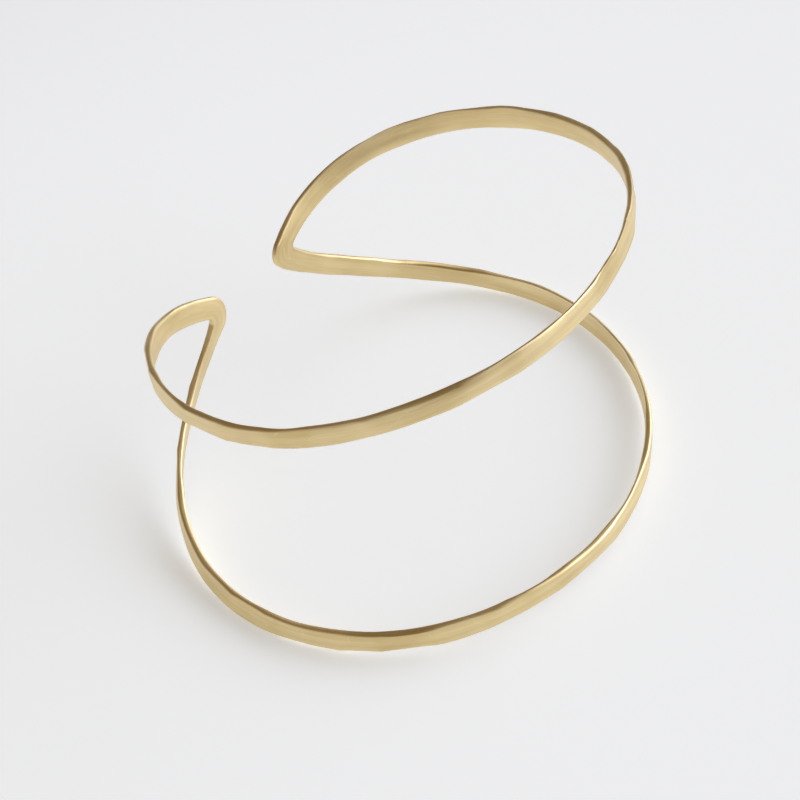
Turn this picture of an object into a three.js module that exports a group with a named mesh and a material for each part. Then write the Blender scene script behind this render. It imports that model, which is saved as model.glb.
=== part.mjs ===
// An open cuff bangle: one flat brass bar bent into a pointed eye shape and rolled around a wrist.
// Millimetres, +Z up. The bangle lies on its side, its front faces -Y and its gap faces +Y.

import * as THREE from 'three';
import { ParametricGeometry } from 'three/addons/geometries/ParametricGeometry.js';

// The bar.
const barWidth = 2.89;
const barThickness = 1.04;
const cornerRadius = 0.3;
const cornerSteps = 2;

// The eye shape, laid flat: x runs along the roll and y along the wrist, with both tips on y = 0.
const halfLength = 84.7;
const upperLimb = {
  rise: 15.86, fullness: 4.29, crown: 2.9, lean: 0.26, sway: 0.25,
  wavers: [
    { count: 4, amount: 0.07 }, { count: 7, amount: 0.12 },
    { count: 9, amount: -0.09 }, { count: 10, amount: -0.07 },
  ],
};
const lowerLimb = {
  rise: -18.7, fullness: 5.55, crown: 0, lean: 0.68, sway: -0.24,
  wavers: [
    { count: 4, amount: 0.05 }, { count: 5, amount: -0.05 }, { count: 8, amount: -0.07 },
    { count: 11, amount: 0.05 }, { count: 12, amount: -0.07 },
  ],
};

// The tips: the bar turns back on itself, tight inside and filed to a rounder or sharper corner
// outside. The limbs' directions are taken a little short of where they would meet.
const tipInnerRadius = 0.38;
const leftTipOuterRadius = 3.27;
const rightTipOuterRadius = 2.27;
const tipMargin = 2;

// The roll: flatter at the front and tighter at the sides.
const frontRadius = 33.5;
const sideRadius = 20.06;
const frontSpan = 52.3;
const frontOffset = 0.2;
const rollStep = 0.25;

// The hammering leaves the bar a little wider and narrower along its loop, and rolling it twists it
// a little, in degrees. A wave has a count round the loop and starts some way along it.
const widthWaves = [
  { count: 1, amount: 0.019, start: 0.146 },
  { count: 2, amount: 0.014, start: -0.152 },
  { count: 29, amount: 0.02, start: 0.167 },
  { count: 46, amount: 0.02, start: 0.5 },
];
const twist = -2.9;
const twistWaves = [
  { count: 1, amount: -2.7, start: -0.045 },
  { count: 2, amount: 6, start: 0.277 },
];

// How the bangle leans where it rests on its lower limb, in degrees.
const leanBack = 4.554;
const leanAside = 1.388;

// Steps along each limb and around each tip.
const limbSteps = 140;
const tipSteps = 14;

const tipRadius = barWidth / 2 + tipInnerRadius;

// A point of a limb of the flat eye, from the left tip (u = -1) to the right tip (u = 1).
function limbPoint(limb, u, target = new THREE.Vector2()) {
  const arch = limb.rise * (1 - Math.pow(Math.abs(u), limb.fullness));
  const middle = limb.crown * Math.cos(1.5 * Math.PI * u);
  const skew = limb.lean * Math.sin(Math.PI * u) + limb.sway * Math.sin(2 * Math.PI * u);
  const waver = limb.wavers.reduce((sum, { count, amount }) => (
    sum + amount * Math.sin(count * Math.PI * (u + 1) / 2)
  ), 0);
  return target.set(u * halfLength, arch + middle + skew + waver);
}

// The way a limb runs, towards the right tip, just short of one of its ends (side -1 or 1).
function endDirection(limb, side) {
  const end = side * (1 - tipMargin / halfLength);
  const inward = limbPoint(limb, end - side * tipMargin / halfLength);
  return limbPoint(limb, end).sub(inward).multiplyScalar(side).normalize();
}

// A tip as an even bend: how far it turns, and where each limb stops to leave room for it.
function tipBend(side, outerRadius) {
  const lower = endDirection(lowerLimb, side);
  const upper = endDirection(upperLimb, side);
  const turn = Math.PI - lower.angleTo(upper);
  const room = tipRadius * Math.tan(turn / 2) / halfLength;
  return {
    turn,
    outerRadius,
    lowerEnd: side * (1 - room * lower.x),
    upperEnd: side * (1 - room * upper.x),
  };
}

// One limb between the two bends, from where it starts (t = 0) to where it ends (t = 1).
class LimbCurve extends THREE.Curve {
  constructor(limb, start, end) {
    super();
    this.limb = limb;
    this.start = start;
    this.end = end;
  }

  getPoint(t, target = new THREE.Vector2()) {
    return limbPoint(this.limb, THREE.MathUtils.lerp(this.start, this.end, t), target);
  }
}

// What a set of waves adds up to at a fraction of the way along the loop.
function sumOfWaves(waves, fraction) {
  return waves.reduce((sum, { count, amount, start }) => (
    sum + amount * Math.sin(2 * Math.PI * (count * fraction - start))
  ), 0);
}

// The bend at a tip: it leaves the end of one limb and comes back along the start of the other.
function tipCurve(bend, from, fromDirection, to, toDirection) {
  const handle = Math.tan(bend.turn / 4) * tipRadius * 4 / 3;
  const first = from.clone().addScaledVector(fromDirection, handle);
  const second = to.clone().addScaledVector(toDirection, -handle);
  return new THREE.CubicBezierCurve(from, first, second, to);
}

// How much further than half the bar's width its outer edge reaches at t along a tip, which gives
// the corner its own radius between two straight edges.
function outerReach(bend, t) {
  const half = bend.turn / 2;
  const away = Math.abs(t - 0.5) * bend.turn;
  const evenRadius = tipRadius + barWidth / 2;
  const back = (evenRadius - bend.outerRadius) / Math.cos(half);
  const roundEnd = Math.atan2(
    bend.outerRadius * Math.sin(half), back + bend.outerRadius * Math.cos(half),
  );
  const round = back * Math.cos(away)
    + Math.sqrt(bend.outerRadius ** 2 - Math.min(bend.outerRadius, back * Math.sin(away)) ** 2);
  const straight = evenRadius / Math.cos(half - away);
  return ((away < roundEnd ? round : straight) - tipRadius) / (barWidth / 2);
}

// Points and directions at even steps of t. The last one is left to the curve that follows.
function sampleCurve(curve, steps, reach = () => 1) {
  const samples = [];
  for (let i = 0; i < steps; i += 1) {
    const t = i / steps;
    samples.push({ point: curve.getPoint(t), direction: curve.getTangent(t), reach: reach(t) });
  }
  return samples;
}

// The closed centre line of the flat eye: along the lower limb, round the right tip and back.
function eyeStations() {
  const left = tipBend(-1, leftTipOuterRadius);
  const right = tipBend(1, rightTipOuterRadius);
  const lower = new LimbCurve(lowerLimb, left.lowerEnd, right.lowerEnd);
  const upper = new LimbCurve(upperLimb, right.upperEnd, left.upperEnd);
  const rightTip = tipCurve(
    right, lower.getPoint(1), lower.getTangent(1), upper.getPoint(0), upper.getTangent(0),
  );
  const leftTip = tipCurve(
    left, upper.getPoint(1), upper.getTangent(1), lower.getPoint(0), lower.getTangent(0),
  );
  return [
    ...sampleCurve(lower, limbSteps),
    ...sampleCurve(rightTip, tipSteps, (t) => outerReach(right, t)),
    ...sampleCurve(upper, limbSteps),
    ...sampleCurve(leftTip, tipSteps, (t) => outerReach(left, t)),
  ];
}

// How far along the loop each station is, as a fraction of its whole length.
function stationFractions(stations) {
  const lengths = [0];
  stations.forEach(({ point }, i) => {
    const next = stations[(i + 1) % stations.length].point;
    lengths.push(lengths[i] + point.distanceTo(next));
  });
  return lengths.map((length) => length / lengths[stations.length]);
}

// The bar's section with softened corners: "across" is in the flat, "out" is away from the wrist.
function barSection() {
  const corners = [[1, 1], [-1, 1], [-1, -1], [1, -1]];
  const section = [];
  corners.forEach(([sideAcross, sideOut], corner) => {
    for (let step = 0; step <= cornerSteps; step += 1) {
      const angle = (corner + step / cornerSteps) * Math.PI / 2;
      section.push({
        across: sideAcross * (barWidth / 2 - cornerRadius) + cornerRadius * Math.cos(angle),
        out: sideOut * (barThickness / 2 - cornerRadius) + cornerRadius * Math.sin(angle),
      });
    }
  });
  return section;
}

// The curvature of the roll at a distance along it from the middle of the front.
function rollCurvature(along) {
  const side = 1 / sideRadius;
  const nearness = Math.exp(-(((along - frontOffset) / frontSpan) ** 2));
  return side - (side - 1 / frontRadius) * nearness;
}

// The roll as points and headings at even steps, worked out from the middle towards each end.
function rollTable() {
  const reach = Math.ceil((halfLength + 2 * barWidth) / rollStep);
  const table = new Map([[0, { x: 0, y: 0, heading: 0 }]]);
  for (const way of [1, -1]) {
    for (let i = 1; i <= reach; i += 1) {
      const last = table.get(way * (i - 1));
      const turn = way * rollStep * rollCurvature(way * (i - 0.5) * rollStep);
      const midway = last.heading + turn / 2;
      table.set(way * i, {
        x: last.x + way * rollStep * Math.cos(midway),
        y: last.y + way * rollStep * Math.sin(midway),
        heading: last.heading + turn,
      });
    }
  }
  return table;
}

// Wraps a point of the flat eye around the wrist, "out" from the middle of the bar's thickness.
function rollPoint(table, flatPoint, out) {
  const place = flatPoint.x / rollStep;
  const low = Math.floor(place);
  const part = place - low;
  const a = table.get(low);
  const b = table.get(low + 1);
  const heading = THREE.MathUtils.lerp(a.heading, b.heading, part);
  return new THREE.Vector3(
    THREE.MathUtils.lerp(a.x, b.x, part) + out * Math.sin(heading),
    THREE.MathUtils.lerp(a.y, b.y, part) - out * Math.cos(heading),
    flatPoint.y,
  );
}

// The closed bar: the section widened, twisted, carried along the eye and rolled.
function cuffGeometry() {
  const stations = eyeStations();
  const fractions = stationFractions(stations);
  const section = barSection();
  const table = rollTable();
  const sectionPoint = new THREE.Vector2();
  const sectionMiddle = new THREE.Vector2();
  const surfacePoint = (u, v, target) => {
    const place = Math.round(v * stations.length) % stations.length;
    const { across, out } = section[Math.round(u * section.length) % section.length];
    const { point, direction, reach } = stations[place];
    const width = (across < 0 ? reach : 1) * (1 + sumOfWaves(widthWaves, fractions[place]));
    const turn = THREE.MathUtils.degToRad(twist + sumOfWaves(twistWaves, fractions[place]));
    sectionPoint.set(across * width, out).rotateAround(sectionMiddle, turn);
    const flatPoint = new THREE.Vector2(
      point.x - direction.y * sectionPoint.x,
      point.y + direction.x * sectionPoint.x,
    );
    target.copy(rollPoint(table, flatPoint, sectionPoint.y));
  };
  return new ParametricGeometry(surfacePoint, section.length, stations.length);
}

const brass = new THREE.MeshStandardMaterial({ color: 0xc9a45c, roughness: 0.38, metalness: 1 });

const cuff = new THREE.Mesh(cuffGeometry(), brass);
cuff.name = 'cuff';
cuff.rotation.set(-THREE.MathUtils.degToRad(leanBack), THREE.MathUtils.degToRad(leanAside), 0);

// The origin is the middle of the space that the bangle fills, on the surface it lies on.
const bangle = new THREE.Group();
bangle.add(cuff);
const extent = new THREE.Box3().setFromObject(bangle, true);
const middle = extent.getCenter(new THREE.Vector3());
cuff.position.set(-middle.x, -middle.y, -extent.min.z);

export default bangle;
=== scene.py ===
import bpy
import random
from math import atan2, ceil, cos, exp, hypot, pi, radians, sin, sqrt, tan
from mathutils import Matrix, Vector, noise


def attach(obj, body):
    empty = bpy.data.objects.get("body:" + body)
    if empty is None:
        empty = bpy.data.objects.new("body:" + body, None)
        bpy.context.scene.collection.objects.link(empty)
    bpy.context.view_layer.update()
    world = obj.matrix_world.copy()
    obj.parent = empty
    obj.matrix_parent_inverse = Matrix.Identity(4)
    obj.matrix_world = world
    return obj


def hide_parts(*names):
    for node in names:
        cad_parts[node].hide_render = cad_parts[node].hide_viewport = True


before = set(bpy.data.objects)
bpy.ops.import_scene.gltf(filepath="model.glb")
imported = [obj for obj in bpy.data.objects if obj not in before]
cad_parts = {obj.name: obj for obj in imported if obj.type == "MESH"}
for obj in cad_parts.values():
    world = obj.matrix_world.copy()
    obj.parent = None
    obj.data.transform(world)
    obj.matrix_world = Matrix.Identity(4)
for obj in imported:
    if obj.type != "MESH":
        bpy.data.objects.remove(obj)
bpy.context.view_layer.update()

mm = 0.001  # the bar is worked in millimetres and brought to metres at the end
scene = bpy.context.scene


def deselectAll():
    if bpy.context.object and bpy.context.object.mode != "OBJECT":
        bpy.ops.object.mode_set(mode="OBJECT")
    bpy.ops.object.select_all(action="DESELECT")


def makeActive(piece):
    deselectAll()
    piece.select_set(True)
    bpy.context.view_layer.objects.active = piece


def editPicked(piece, kind, wanted):
    # picks vertices, edges or faces in code, and leaves the piece in edit mode with only those picked
    makeActive(piece)
    bpy.ops.object.mode_set(mode="EDIT")
    bpy.ops.mesh.select_mode(type=kind)
    bpy.ops.mesh.select_all(action="DESELECT")
    bpy.ops.object.mode_set(mode="OBJECT")
    parts = {"VERT": piece.data.vertices, "EDGE": piece.data.edges, "FACE": piece.data.polygons}
    for part in parts[kind]:
        part.select = wanted(part)
    bpy.ops.object.mode_set(mode="EDIT")


def settle(piece):
    # puts the object's own place, turn and size into its mesh
    makeActive(piece)
    bpy.ops.object.transform_apply(location=True, rotation=True, scale=True)


# the view: azimuth is measured from -y towards +x, roll turns the camera about its own axis
view = {
    "azimuth": -49.77,
    "elevation": 47.22,
    "roll": -4.75,
    "distance": 392.0,
    "aim": (-3.85, 0.0, 15.19),
    "lens": 149.1,
}


def levelAxes():
    azimuth = radians(view["azimuth"])
    right = Vector((cos(azimuth), sin(azimuth), 0))
    towards = Vector((sin(azimuth), -cos(azimuth), 0))
    return right, towards


def placeCamera():
    elevation, turn = radians(view["elevation"]), radians(view["roll"])
    level, towards = levelAxes()
    back = towards * cos(elevation) + Vector((0, 0, sin(elevation)))
    right = level * cos(turn) + back.cross(level) * sin(turn)
    camera = bpy.data.objects.new("camera", bpy.data.cameras.new("camera"))
    scene.collection.objects.link(camera)
    facing = Matrix((right, back.cross(right), back)).transposed().to_4x4()
    place = (Vector(view["aim"]) + back * view["distance"]) * mm
    camera.matrix_world = Matrix.Translation(place) @ facing
    camera.data.lens = view["lens"]
    camera.data.sensor_width = 36
    camera.data.clip_start = 0.01
    scene.camera = camera


placeCamera()
print("camera placed")


# the bar before it is bent: x along it, +y towards the inside of the eye, +z away from the wrist
bar = {
    "width": 2.89,
    "thickness": 1.04,
    "cornerRadius": 0.28,
    "cornerSegments": 3,
    "faceCuts": 11,
    "edgeCuts": 3,
    "rubbedReach": 1.3,   # how far wear spreads from a long corner, to the corner's radius
    "lengthCuts": (31, 35),
    "tipZone": 5.0,       # the rings are closer together around the tips
    "crown": (0.02, 0.13),  # the faces are a little rounded, more in some stretches than in others
    "twist": -2.9,
}

# waves round the loop: a count, an amount and where the wave starts
waves = {
    "width": ((1, 0.019, 0.146), (2, 0.014, -0.152), (29, 0.02, 0.167), (46, 0.02, 0.5)),
    "twist": ((1, -2.7, -0.045), (2, 6.0, 0.277)),
}

# hammering, in millimetres: flats along each side, a faint planished ripple all over, and shallow
# grooves along the faces from drawing the bar
hammering = {
    "seed": 11,
    "outer": {"spacing": 8.0, "depth": 0.12, "tilt": 0.15},
    "inner": {"spacing": 9.0, "depth": 0.10, "tilt": 0.13},
    "outerEdge": {"spacing": 6.0, "depth": 0.08, "tilt": 0.07},
    "innerEdge": {"spacing": 7.0, "depth": 0.07, "tilt": 0.07},
    "ripple": {"length": 2.2, "depth": 0.022},
    "groove": {"length": 11.0, "across": 1.0, "depth": 0.04},
    "reach": (0.6, 1.5),  # the shortest and longest flats, to the spacing
    "shallowest": 0.4,    # to the depth
}

# stretches hammered thin along one long edge: the face (1 outer, -1 inner), the place as a part of
# the loop, how far it reaches, and how deep it is at the eye's outside and inside edges
thinned = (
    (-1, 0.36, 20.0, 0.0, 0.30),
    (-1, 0.555, 22.0, 0.42, 0.0),
    (1, 0.715, 18.0, 0.32, 0.0),
    (1, 0.775, 13.0, 0.30, 0.0),
)

# how round the long corners are worn, in millimetres; each corner drifts between two radii
softening = {
    "least": 0.28,
    "most": 0.51,
    "length": 26.0,
    "contrast": 1.1,  # how strongly a drift swings between its limits
}

# the eye shape laid flat: x along the roll, y along the wrist, both tips on y = 0
eye = {
    "halfLength": 84.7,
    "upper": {"rise": 15.86, "fullness": 4.29, "crown": 2.9, "lean": 0.26, "sway": 0.25},
    "lower": {"rise": -18.7, "fullness": 5.55, "crown": 0.0, "lean": 0.68, "sway": -0.24},
    "upperWavers": ((4, 0.07), (7, 0.12), (9, -0.09), (10, -0.07)),
    "lowerWavers": ((4, 0.05), (5, -0.05), (8, -0.07), (11, 0.05), (12, -0.07)),
    "tipInnerRadius": 0.38,
    "tipOuterRadius": {-1: 3.27, 1: 2.27},
    "tipMargin": 2.0,
    "limbSteps": 560,
    "tipSteps": 56,
}
eye["tipRadius"] = bar["width"] / 2 + eye["tipInnerRadius"]

# the roll: flatter at the front, tighter at the sides
roll = {
    "frontRadius": 33.5,
    "sideRadius": 20.06,
    "frontSpan": 52.3,
    "frontOffset": 0.2,
    "step": 0.25,
}

# how the bangle leans where it rests on its lower limb
rest = {"leanBack": 4.554, "leanAside": 1.388}


def limbPoint(side, u):
    limb = eye[side]
    arch = limb["rise"] * (1 - abs(u) ** limb["fullness"])
    middle = limb["crown"] * cos(1.5 * pi * u)
    skew = limb["lean"] * sin(pi * u) + limb["sway"] * sin(2 * pi * u)
    waver = sum(amount * sin(count * pi * (u + 1) / 2) for count, amount in eye[side + "Wavers"])
    return Vector((u * eye["halfLength"], arch + middle + skew + waver))


def limbWay(side, u, reach=0.01):
    near = reach / eye["halfLength"]
    return (limbPoint(side, u + near) - limbPoint(side, u - near)).normalized()


def tipBend(end):
    # how far the tip turns, and where each limb stops to leave room for it; end is -1 or 1
    middle = end * (1 - 1.5 * eye["tipMargin"] / eye["halfLength"])
    lower, upper = (limbWay(side, middle, eye["tipMargin"] / 2) for side in ("lower", "upper"))
    turn = pi - lower.angle(upper)
    room = eye["tipRadius"] * tan(turn / 2) / eye["halfLength"]
    return {
        "turn": turn,
        "lower": end * (1 - room * lower.x),
        "upper": end * (1 - room * upper.x),
        "outerRadius": eye["tipOuterRadius"][end],
    }


def outerReach(bend, away):
    # how much further than half its width the bar's outer edge reaches; away is an angle from the tip
    half, outerRadius = bend["turn"] / 2, bend["outerRadius"]
    if abs(away) >= half:
        return 1.0
    evenRadius = eye["tipRadius"] + bar["width"] / 2
    back = (evenRadius - outerRadius) / cos(half)
    roundEnd = atan2(outerRadius * sin(half), back + outerRadius * cos(half))
    reach = evenRadius / cos(half - abs(away))
    if abs(away) < roundEnd:
        reach = back * cos(away) + sqrt(outerRadius ** 2 - (back * sin(away)) ** 2)
    return (reach - eye["tipRadius"]) / (bar["width"] / 2)


def tipPoint(start, startWay, end, endWay, handle, t):
    first = start + startWay * handle
    second = end - endWay * handle
    s = 1 - t
    return start * s ** 3 + first * 3 * s * s * t + second * 3 * s * t * t + end * t ** 3


def eyeLine(left, right):
    # along the lower limb, round the right tip, back along the upper limb, round the left tip
    limbSteps, tipSteps = eye["limbSteps"], eye["tipSteps"]
    points = []
    runs = (("lower", left["lower"], right["lower"], right), ("upper", right["upper"], left["upper"], left))
    for side, start, end, bend in runs:
        points += [limbPoint(side, start + (end - start) * i / limbSteps) for i in range(limbSteps)]
        other, way = ("upper", 1) if side == "lower" else ("lower", -1)
        handle = tan(bend["turn"] / 4) * eye["tipRadius"] * 4 / 3
        leaving = limbPoint(side, end), limbWay(side, end) * way
        meeting = limbPoint(other, bend[other]), limbWay(other, bend[other]) * -way
        points += [tipPoint(*leaving, *meeting, handle, i / tipSteps) for i in range(tipSteps)]
    return points


def lengthsAlong(points):
    # the length from the first point to each point, and then once round
    lengths = [0.0]
    for i in range(len(points)):
        lengths.append(lengths[-1] + (points[(i + 1) % len(points)] - points[i]).length)
    return lengths


def rollCurvature(along):
    side = 1 / roll["sideRadius"]
    nearness = exp(-((along - roll["frontOffset"]) / roll["frontSpan"]) ** 2)
    return side - (side - 1 / roll["frontRadius"]) * nearness


def rollLine():
    # from the far left end to the far right end; the middle of the front is at 0, 0 and heads along +x
    count = ceil((eye["halfLength"] + 2 * bar["width"]) / roll["step"])
    halves = []
    for way in (-1, 1):
        place, heading, half = Vector((0, 0)), 0.0, []
        for i in range(count):
            turn = way * roll["step"] * rollCurvature(way * (i + 0.5) * roll["step"])
            middle = heading + turn / 2
            place = place + way * roll["step"] * Vector((cos(middle), sin(middle)))
            heading += turn
            half.append(place)
        halves.append(half)
    return list(reversed(halves[0])) + [Vector((0, 0))] + halves[1], count * roll["step"]


def bendingLine(name, points, closed):
    curve = bpy.data.curves.new(name, "CURVE")
    curve.dimensions = "3D"
    curve.twist_mode = "Z_UP"
    line = curve.splines.new("POLY")
    line.points.add(len(points) - 1)
    for knot, point in zip(line.points, points):
        knot.co = (point.x, point.y, 0, 1)
    line.use_cyclic_u = closed
    bender = bpy.data.objects.new(name, curve)
    scene.collection.objects.link(bender)
    return bender


def bendAlong(piece, bender):
    makeActive(piece)
    bend = piece.modifiers.new("bend", "CURVE")
    bend.object = bender
    bend.deform_axis = "POS_X"
    bpy.ops.object.modifier_apply(modifier=bend.name)
    bpy.data.objects.remove(bender)


def cutBar(length, tipPlaces):
    # a straight bar from x = 0 to x = length, open at both ends
    deselectAll()
    size = (length, bar["width"], bar["thickness"])
    bpy.ops.mesh.primitive_cube_add(size=1, location=(length / 2, 0, 0), scale=size)
    piece = bpy.context.object
    piece.name = "cuffBar"
    settle(piece)
    tiny = 0.01
    flatWidth = bar["width"] - 2 * bar["cornerRadius"]
    flatThickness = bar["thickness"] - 2 * bar["cornerRadius"]

    def span(edge):
        a, b = (piece.data.vertices[i].co for i in edge.vertices)
        return abs(a.x - b.x), abs(a.y - b.y), abs(a.z - b.z)

    def runsAlong(edge):
        return span(edge)[0] > tiny

    def crosses(edge, axis, flat):
        return not runsAlong(edge) and abs(span(edge)[axis] - flat) < tiny

    def nearTip(edge):
        x = sum(piece.data.vertices[i].co.x for i in edge.vertices) / 2
        return any(min(abs(x - tip), length - abs(x - tip)) < bar["tipZone"] for tip in tipPlaces)

    editPicked(piece, "EDGE", runsAlong)
    bpy.ops.mesh.bevel(offset=bar["cornerRadius"], segments=bar["cornerSegments"], profile=0.5)
    editPicked(piece, "FACE", lambda face: abs(face.normal.x) > 0.9)
    bpy.ops.mesh.delete(type="FACE")
    editPicked(piece, "EDGE", lambda edge: crosses(edge, 1, flatWidth))
    bpy.ops.mesh.subdivide(number_cuts=bar["faceCuts"])
    editPicked(piece, "EDGE", lambda edge: crosses(edge, 2, flatThickness))
    bpy.ops.mesh.subdivide(number_cuts=bar["edgeCuts"])
    for cuts in bar["lengthCuts"]:
        editPicked(piece, "EDGE", runsAlong)
        bpy.ops.mesh.subdivide(number_cuts=cuts)
    editPicked(piece, "EDGE", lambda edge: runsAlong(edge) and nearTip(edge))
    bpy.ops.mesh.subdivide(number_cuts=1)
    bpy.ops.object.mode_set(mode="OBJECT")
    return piece


def markBar(piece, length):
    # where each point was on the straight bar, wound into a ring so that the finish has no seam:
    # barRound is along the bar (as a circle) and across it, barOut is through it, rubbed is 1 on the
    # long corners that hands and sleeves rub
    marks = piece.data.attributes
    for name, kind in (("barRound", "FLOAT_VECTOR"), ("barOut", "FLOAT"), ("rubbed", "FLOAT")):
        marks.new(name, kind, "POINT")
    rings, outs, rubbed = (marks[name].data for name in ("barRound", "barOut", "rubbed"))
    radius = length / (2 * pi)
    rubbedReach = bar["rubbedReach"] * bar["cornerRadius"]
    for i, point in enumerate(piece.data.vertices):
        x, y, z = point.co
        rings[i].vector = (radius * cos(x / radius), radius * sin(x / radius), y)
        outs[i].value = z
        fromSide = bar["width"] / 2 - abs(y)
        fromFace = bar["thickness"] / 2 - abs(z)
        rubbed[i].value = max(0.0, 1 - hypot(fromSide, fromFace) / rubbedReach)


def hammerFlats(length, spacing, depth, tilt):
    # flats end to end along the bar; each has a middle, half a length, a depth and a tilt
    flats, place = [], 0.0
    while place < length:
        reach = spacing * random.uniform(*hammering["reach"])
        if place + reach > length - hammering["reach"][0] * spacing:
            reach = length - place
        drop = depth * random.uniform(hammering["shallowest"], 1.0)
        flats.append((place + reach / 2, reach / 2, drop, tilt * random.uniform(-1, 1)))
        place += reach
    return flats


def flatDrop(flats, x, side):
    # how far the surface has been driven in at x; side runs from -1 to 1 across the face
    for middle, half, depth, tilt in flats:
        if abs(x - middle) <= half:
            t = (x - middle) / half
            return depth * (1 - t * t) + tilt * side * (1 - t ** 4)
    return 0.0


def thinning(x, length, side, across):
    drop = 0.0
    for face, place, reach, outsideDepth, insideDepth in thinned:
        away = ((x / length - place + 0.5) % 1 - 0.5) * length / reach
        if face == side and abs(away) < 1:
            drop += between((outsideDepth, insideDepth), (across + 1) / 2) * (1 - away * away) ** 2
    return drop


def sumOfWaves(name, fraction):
    return sum(amount * sin(2 * pi * (count * fraction - start)) for count, amount, start in waves[name])


def drift(x, length, size, lane):
    # a smooth value between 0 and 1 that comes back to itself once round the bar
    radius = length / (2 * pi * size)
    turn = 2 * pi * x / length
    wander = noise.noise(Vector((radius * cos(turn), radius * sin(turn), lane)))
    return min(max(0.5 + softening["contrast"] * wander, 0), 1)


def between(limits, part):
    return limits[0] + (limits[1] - limits[0]) * part


def soften(y, z, halfWidth, halfThickness, radius):
    # brings a point near a long corner in to that corner's own radius
    cornerY, cornerZ = abs(y) - (halfWidth - radius), abs(z) - (halfThickness - radius)
    far = hypot(cornerY, cornerZ)
    if cornerY > 0 and cornerZ > 0 and far > radius:
        y -= (1 if y > 0 else -1) * cornerY * (1 - radius / far)
        z -= (1 if z > 0 else -1) * cornerZ * (1 - radius / far)
    return y, z


def hammerBar(piece, length, tips):
    random.seed(hammering["seed"])
    sideNames = ("outer", "inner", "outerEdge", "innerEdge")
    flats = {name: hammerFlats(length, **hammering[name]) for name in sideNames}
    halfWidth, halfThickness = bar["width"] / 2, bar["thickness"] / 2
    rippleLength, rippleDepth = hammering["ripple"]["length"], hammering["ripple"]["depth"]
    grooves = hammering["groove"]
    softness = (softening["least"], softening["most"])
    for point in piece.data.vertices:
        x, y, z = point.co
        lane = 10.3 * (y > 0) + 20.6 * (z > 0)
        radius = between(softness, drift(x, length, softening["length"], lane))
        y, z = soften(y, z, halfWidth, halfThickness, radius)
        across, out = y / halfWidth, z / halfThickness
        ripple = rippleDepth * drift(x, length, rippleLength, 40 + y / rippleLength)
        crown = between(bar["crown"], drift(x, length, softening["length"], 5 + 20.6 * (z > 0)))
        groove = grooves["depth"] * drift(x, length, grooves["length"], y / grooves["across"] + 60 * out)
        z -= out * (ripple + groove * (1 - across ** 4) + crown * across ** 2)
        z -= flatDrop(flats["outer"], x, across) * max(out, 0)
        z += flatDrop(flats["inner"], x, across) * max(-out, 0)
        z -= thinning(x, length, 1, across) * max(out, 0) - thinning(x, length, -1, across) * max(-out, 0)
        y -= flatDrop(flats["innerEdge"], x, out) * max(across, 0) ** 3
        y += flatDrop(flats["outerEdge"], x, out) * max(-across, 0) ** 3
        y *= 1 + sumOfWaves("width", x / length)
        if y < 0:
            for bend, place in tips:
                away = (x - place + length / 2) % length - length / 2
                y *= outerReach(bend, away / eye["tipRadius"])
        turn = radians(bar["twist"] + sumOfWaves("twist", x / length))
        point.co = (x, y * cos(turn) - z * sin(turn), y * sin(turn) + z * cos(turn))


def makeCuff():
    left, right = tipBend(-1), tipBend(1)
    points = eyeLine(left, right)
    lengths = lengthsAlong(points)
    length, limbSteps, tipSteps = lengths[-1], eye["limbSteps"], eye["tipSteps"]
    rightPlace = lengths[limbSteps + tipSteps // 2]
    leftPlace = lengths[2 * limbSteps + tipSteps + tipSteps // 2]
    piece = cutBar(length, (rightPlace, leftPlace))
    markBar(piece, length)
    hammerBar(piece, length, ((left, leftPlace), (right, rightPlace)))
    ends = {point.index for point in piece.data.vertices if not 0.001 < point.co.x < length - 0.001}
    print("bar cut and hammered,", round(length, 1), "mm long")

    bendAlong(piece, bendingLine("eyeLine", points, True))
    editPicked(piece, "VERT", lambda point: point.index in ends)
    bpy.ops.mesh.remove_doubles(threshold=0.05)
    bpy.ops.object.mode_set(mode="OBJECT")
    print("eye bent and its ends joined")

    line, reach = rollLine()
    piece.rotation_euler = (radians(90), 0, 0)
    piece.location = (reach, 0, 0)
    settle(piece)
    bendAlong(piece, bendingLine("rollLine", line, False))
    for lean in ((0, radians(rest["leanAside"]), 0), (-radians(rest["leanBack"]), 0, 0)):
        piece.rotation_euler = lean
        settle(piece)
    xs, ys, zs = zip(*(point.co for point in piece.data.vertices))
    piece.location = (-(min(xs) + max(xs)) / 2, -(min(ys) + max(ys)) / 2, -min(zs))
    settle(piece)
    piece.scale = (mm, mm, mm)
    settle(piece)
    bpy.ops.object.shade_smooth()
    print("rolled and laid down")
    return piece


cuff = makeCuff()
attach(cuff, "root")
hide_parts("cuff")


def addNode(tree, kind, values=None, **settings):
    node = tree.nodes.new(kind)
    for name, value in settings.items():
        setattr(node, name, value)
    for name, value in (values or {}).items():
        node.inputs[name].default_value = value
    return node


def newGroup(name, inputs, outputs):
    group = bpy.data.node_groups.new(name, "ShaderNodeTree")
    for label, kind, value in inputs:
        socket = group.interface.new_socket(label, in_out="INPUT", socket_type=kind)
        if value is not None:
            socket.default_value = value
    for label, kind in outputs:
        group.interface.new_socket(label, in_out="OUTPUT", socket_type=kind)
    return group, group.nodes.new("NodeGroupInput"), group.nodes.new("NodeGroupOutput")


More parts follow.
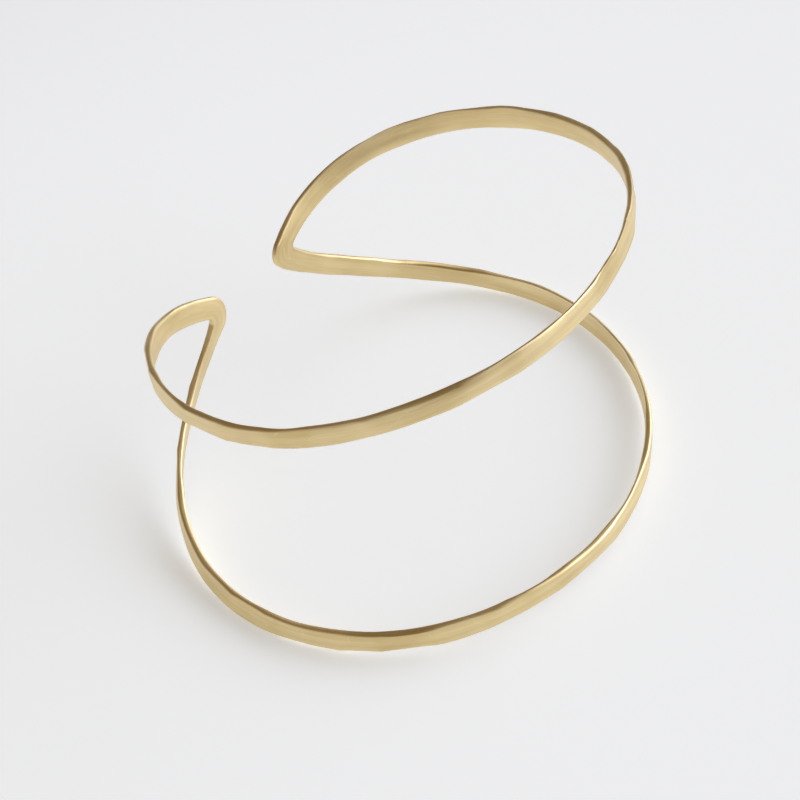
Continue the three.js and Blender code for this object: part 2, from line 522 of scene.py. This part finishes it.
def brushedGrainGroup():
    # fine lines drawn along the bar, out of its places along, across and through; 0 to 1
    inputs = [
        ("Place", "NodeSocketVector", None), ("Through", "NodeSocketFloat", 0.0),
        ("Along", "NodeSocketFloat", 0.15), ("Across", "NodeSocketFloat", 9.0),
    ]
    group, given, result = newGroup("brushedGrain", inputs, [("Grain", "NodeSocketFloat")])
    stretch = addNode(group, "ShaderNodeCombineXYZ")
    for axis, source in (("X", "Along"), ("Y", "Along"), ("Z", "Across")):
        group.links.new(given.outputs[source], stretch.inputs[axis])
    scaled = addNode(group, "ShaderNodeVectorMath", operation="MULTIPLY")
    group.links.new(given.outputs["Place"], scaled.inputs[0])
    group.links.new(stretch.outputs["Vector"], scaled.inputs[1])
    depth = addNode(group, "ShaderNodeMath", operation="MULTIPLY")
    group.links.new(given.outputs["Through"], depth.inputs[0])
    group.links.new(given.outputs["Across"], depth.inputs[1])
    settings = {"Scale": 1.0, "Detail": 3.0, "Roughness": 0.6}
    lines = addNode(group, "ShaderNodeTexNoise", settings, noise_dimensions="4D")
    group.links.new(scaled.outputs["Vector"], lines.inputs["Vector"])
    group.links.new(depth.outputs["Value"], lines.inputs["W"])
    spread = addNode(group, "ShaderNodeMapRange", {"From Min": 0.3, "From Max": 0.7})
    group.links.new(lines.outputs["Fac"], spread.inputs["Value"])
    group.links.new(spread.outputs["Result"], result.inputs["Grain"])
    return group


def toneDriftGroup():
    # slow changes of tone over the metal; Tone runs from 0 to 1
    inputs = [("Place", "NodeSocketVector", None), ("Scale", "NodeSocketFloat", 100.0)]
    group, given, result = newGroup("toneDrift", inputs, [("Tone", "NodeSocketFloat")])
    cloud = addNode(group, "ShaderNodeTexNoise", {"Detail": 2.0, "Roughness": 0.5})
    group.links.new(given.outputs["Place"], cloud.inputs["Vector"])
    group.links.new(given.outputs["Scale"], cloud.inputs["Scale"])
    spread = addNode(group, "ShaderNodeMapRange", {"From Min": 0.35, "From Max": 0.65})
    group.links.new(cloud.outputs["Fac"], spread.inputs["Value"])
    group.links.new(spread.outputs["Result"], result.inputs["Tone"])
    return group


def hairlinesGroup():
    # thin scratches that run mostly along the bar; Line is 1 on a scratch and 0 off it
    inputs = [
        ("Place", "NodeSocketVector", None), ("Scale", "NodeSocketFloat", 0.5),
        ("Width", "NodeSocketFloat", 0.006),
    ]
    group, given, result = newGroup("hairlines", inputs, [("Line", "NodeSocketFloat")])
    drawn = addNode(group, "ShaderNodeVectorMath", {1: (0.2, 0.2, 1.0)}, operation="MULTIPLY")
    group.links.new(given.outputs["Place"], drawn.inputs[0])
    hills = addNode(group, "ShaderNodeTexNoise", {"Detail": 1.0, "Roughness": 0.4})
    group.links.new(drawn.outputs["Vector"], hills.inputs["Vector"])
    group.links.new(given.outputs["Scale"], hills.inputs["Scale"])
    fold = addNode(group, "ShaderNodeMath", {0: 0.5}, operation="SUBTRACT")
    group.links.new(hills.outputs["Fac"], fold.inputs[1])
    height = addNode(group, "ShaderNodeMath", operation="ABSOLUTE")
    group.links.new(fold.outputs["Value"], height.inputs[0])
    line = addNode(group, "ShaderNodeMapRange", {"From Min": 0.0, "To Min": 1.0, "To Max": 0.0})
    group.links.new(given.outputs["Width"], line.inputs["From Max"])
    group.links.new(height.outputs["Value"], line.inputs["Value"])
    group.links.new(line.outputs["Result"], result.inputs["Line"])
    return group


brass = {
    "pale": (0.96, 0.80, 0.475, 1),
    "deep": (0.63, 0.47, 0.21, 1),
    "worn": (0.95, 0.83, 0.58, 1),
    "smooth": 0.28,
    "rough": 0.50,
    "wornRoughness": 0.3,
    "patches": 110.0,        # tone patches to the metre
    "streak": (0.07, 1.3),   # how often the broad streaks change, along and across, to the millimetre
    "scratch": 0.55,         # scratches to the millimetre
    "mark": 0.35,            # how pale a scratch is
    "grainBump": 0.3,
    "grainHeight": 0.00003,
    "scratchBump": 0.35,
    "scratchHeight": 0.00002,
}


def blend(tree, kind, factor, a, b):
    # a mix node between two fixed values or links; kind is FLOAT or RGBA
    node = addNode(tree, "ShaderNodeMix", data_type=kind)
    for name, value in (("Factor", factor), ("A", a), ("B", b)):
        if isinstance(value, bpy.types.NodeSocket):
            tree.links.new(value, node.inputs[name])
        else:
            node.inputs[name].default_value = value
    return node.outputs["Result"]


def satinBrass():
    material = bpy.data.materials.new("satinBrass")
    material.use_nodes = True
    tree = material.node_tree
    shader = tree.nodes["Principled BSDF"]
    shader.inputs["Metallic"].default_value = 1.0
    barPlace = addNode(tree, "ShaderNodeAttribute", attribute_name="barRound")
    barDepth = addNode(tree, "ShaderNodeAttribute", attribute_name="barOut")
    rubbed = addNode(tree, "ShaderNodeAttribute", attribute_name="rubbed")
    roomPlace = addNode(tree, "ShaderNodeTexCoord")

    grain = addNode(tree, "ShaderNodeGroup", node_tree=brushedGrainGroup())
    tree.links.new(barPlace.outputs["Vector"], grain.inputs["Place"])
    tree.links.new(barDepth.outputs["Fac"], grain.inputs["Through"])
    streaks = addNode(tree, "ShaderNodeGroup", node_tree=grain.node_tree)
    streaks.inputs["Along"].default_value, streaks.inputs["Across"].default_value = brass["streak"]
    tree.links.new(barPlace.outputs["Vector"], streaks.inputs["Place"])
    tree.links.new(barDepth.outputs["Fac"], streaks.inputs["Through"])
    tone = addNode(tree, "ShaderNodeGroup", {"Scale": brass["patches"]}, node_tree=toneDriftGroup())
    tree.links.new(roomPlace.outputs["Object"], tone.inputs["Place"])
    scratches = addNode(tree, "ShaderNodeGroup", {"Scale": brass["scratch"]}, node_tree=hairlinesGroup())
    tree.links.new(barPlace.outputs["Vector"], scratches.inputs["Place"])

    # the corners are rubbed bright in some stretches and left dull in others
    wear = addNode(tree, "ShaderNodeMath", operation="MULTIPLY", use_clamp=True)
    tree.links.new(rubbed.outputs["Fac"], wear.inputs[0])
    tree.links.new(tone.outputs["Tone"], wear.inputs[1])
    marked = addNode(tree, "ShaderNodeMath", {1: brass["mark"]}, operation="MULTIPLY")
    tree.links.new(scratches.outputs["Line"], marked.inputs[0])

    drawn = blend(tree, "FLOAT", 0.3, streaks.outputs["Grain"], grain.outputs["Grain"])
    streaked = blend(tree, "FLOAT", 0.6, tone.outputs["Tone"], drawn)
    body = blend(tree, "RGBA", streaked, brass["deep"], brass["pale"])
    scored = blend(tree, "RGBA", marked.outputs["Value"], body, brass["worn"])
    colour = blend(tree, "RGBA", wear.outputs["Value"], scored, brass["worn"])
    tree.links.new(colour, shader.inputs["Base Color"])

    brushed = addNode(tree, "ShaderNodeMapRange", {"To Min": brass["smooth"], "To Max": brass["rough"]})
    tree.links.new(streaked, brushed.inputs["Value"])
    finish = blend(tree, "FLOAT", wear.outputs["Value"], brushed.outputs["Result"], brass["wornRoughness"])
    tree.links.new(finish, shader.inputs["Roughness"])

    ridges = {"Strength": brass["grainBump"], "Distance": brass["grainHeight"]}
    lines = addNode(tree, "ShaderNodeBump", ridges)
    tree.links.new(grain.outputs["Grain"], lines.inputs["Height"])
    furrows = {"Strength": brass["scratchBump"], "Distance": brass["scratchHeight"]}
    scores = addNode(tree, "ShaderNodeBump", furrows, invert=True)
    tree.links.new(scratches.outputs["Line"], scores.inputs["Height"])
    tree.links.new(lines.outputs["Normal"], scores.inputs["Normal"])
    tree.links.new(scores.outputs["Normal"], shader.inputs["Normal"])
    return material


cuff.data.materials.clear()
cuff.data.materials.append(satinBrass())
print("brass finished")


# a pale floor that glows a little near the bangle, and a dim warm room with a broad window to the
# right, a skylight behind it and a weaker wash from the left; azimuths are measured from the
# camera's side of the bangle towards the right
floorFinish = {
    "colour": (0.82, 0.87, 0.93, 1),
    "roughness": 0.7,
    "size": 3.0,
    "glow": 0.38,
    "glowColour": (0.97, 1.0, 1.02, 1),
    "glowFull": 0.09,
    "glowGone": 0.34,
    "glowAside": 0.025,
}
room = {"colour": (0.235, 0.18, 0.12, 1)}
openings = {
    "window": {
        "azimuth": 95, "elevation": 13, "inner": 18, "outer": 52, "colour": (2.05, 2.14, 2.34, 1),
    },
    "skylight": {
        "azimuth": 136, "elevation": 34, "inner": 6, "outer": 34, "colour": (1.05, 1.10, 1.20, 1),
    },
    "wash": {
        "azimuth": -48, "elevation": -2, "inner": 10, "outer": 46, "colour": (0.42, 0.41, 0.39, 1),
    },
}


def makeFloor():
    deselectAll()
    bpy.ops.mesh.primitive_plane_add(size=floorFinish["size"], location=(0, 0, 0))
    floor = bpy.context.object
    floor.name = "floor"
    material = bpy.data.materials.new("paleFloor")
    material.use_nodes = True
    tree = material.node_tree
    shader = tree.nodes["Principled BSDF"]
    shader.inputs["Base Color"].default_value = floorFinish["colour"]
    shader.inputs["Roughness"].default_value = floorFinish["roughness"]
    shader.inputs["Specular IOR Level"].default_value = 0.2
    shader.inputs["Emission Color"].default_value = floorFinish["glowColour"]
    place = addNode(tree, "ShaderNodeTexCoord")
    away = addNode(tree, "ShaderNodeVectorMath", operation="DISTANCE")
    right, towards = levelAxes()
    away.inputs[1].default_value = (right + towards) * floorFinish["glowAside"]
    tree.links.new(place.outputs["Object"], away.inputs[0])
    limits = {"From Min": floorFinish["glowFull"], "From Max": floorFinish["glowGone"]}
    limits.update({"To Min": floorFinish["glow"], "To Max": 0.0})
    fade = addNode(tree, "ShaderNodeMapRange", limits, interpolation_type="SMOOTHSTEP")
    tree.links.new(away.outputs["Value"], fade.inputs["Value"])
    tree.links.new(fade.outputs["Result"], shader.inputs["Emission Strength"])
    floor.data.materials.append(material)


def wayTo(azimuth, elevation):
    right, towards = levelAxes()
    level = towards * cos(radians(azimuth)) + right * sin(radians(azimuth))
    return level * cos(radians(elevation)) + Vector((0, 0, sin(radians(elevation))))


def lightRoom():
    world = bpy.data.worlds.new("room")
    scene.world = world
    world.use_nodes = True
    tree = world.node_tree
    look = addNode(tree, "ShaderNodeTexCoord")
    walls = addNode(tree, "ShaderNodeRGB")
    walls.outputs["Color"].default_value = room["colour"]
    light = walls.outputs["Color"]
    for opening in openings.values():
        facing = addNode(tree, "ShaderNodeVectorMath", operation="DOT_PRODUCT")
        facing.inputs[1].default_value = wayTo(opening["azimuth"], opening["elevation"])
        tree.links.new(look.outputs["Generated"], facing.inputs[0])
        outer, inner = cos(radians(opening["outer"])), cos(radians(opening["inner"]))
        limits = {"From Min": outer, "From Max": inner}
        edge = addNode(tree, "ShaderNodeMapRange", limits, interpolation_type="SMOOTHSTEP")
        tree.links.new(facing.outputs["Value"], edge.inputs["Value"])
        added = addNode(tree, "ShaderNodeMix", data_type="RGBA", blend_type="ADD")
        added.inputs["B"].default_value = opening["colour"]
        tree.links.new(edge.outputs["Result"], added.inputs["Factor"])
        tree.links.new(light, added.inputs["A"])
        light = added.outputs["Result"]
    tree.links.new(light, tree.nodes["Background"].inputs["Color"])


makeFloor()
lightRoom()
scene.view_settings.view_transform = "Standard"
print("room lit")
